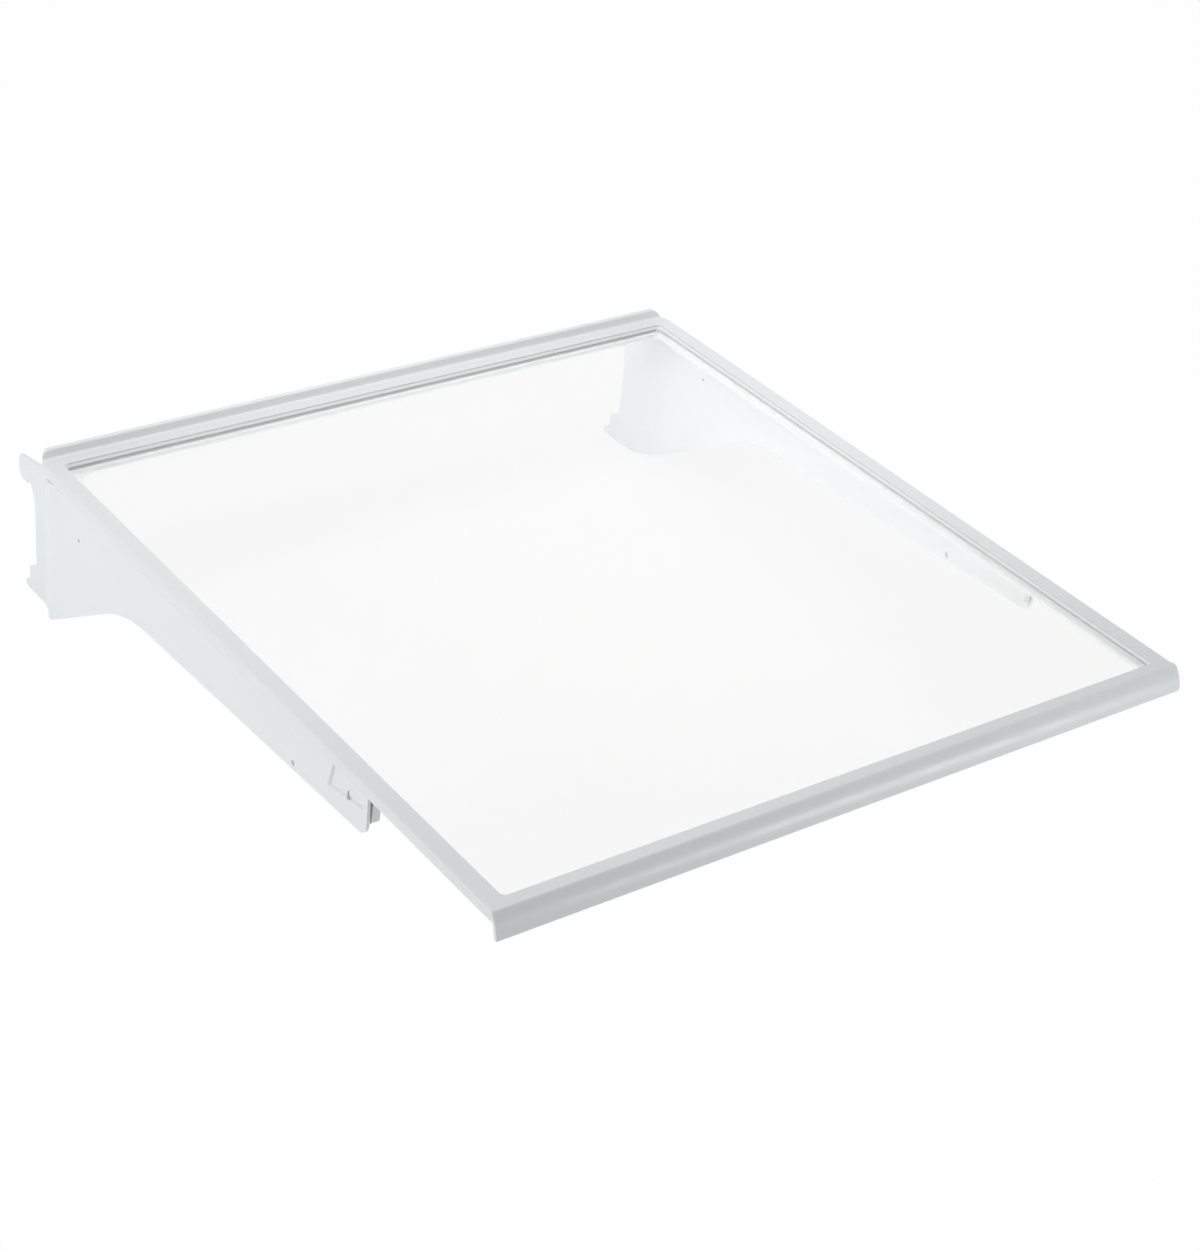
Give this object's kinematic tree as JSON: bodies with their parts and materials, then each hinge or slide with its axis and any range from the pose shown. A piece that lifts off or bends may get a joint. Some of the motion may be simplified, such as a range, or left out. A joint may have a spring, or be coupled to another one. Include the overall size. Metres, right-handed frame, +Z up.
{
  "type": "refrigerator shelf",
  "caption": "Glass refrigerator shelf in a white moulded frame with a rear ridge and a curved front skirt, on stamped steel brackets that hook into slotted wall rails.",
  "frame": {"origin": "midway between the two hooks, on the front face of the wall rails that the brackets bear on and level with the lower edges of the slots that the hooks sit on", "axes": "+X to the right seen from the front, +Y towards the wall, +Z up with the glass level"},
  "size_m": [0.3848, 0.4479, 0.096],
  "materials": {
    "clear_glass": "polished faces, ground edges",
    "white_moulding": "satin",
    "white_paint": "satin powder coat"
  },
  "bodies": {
    "root": {"glass_pane": "clear_glass", "shelf_frame": "white_moulding", "left_bracket": "white_paint", "right_bracket": "white_paint"}
  },
  "joints": []
}
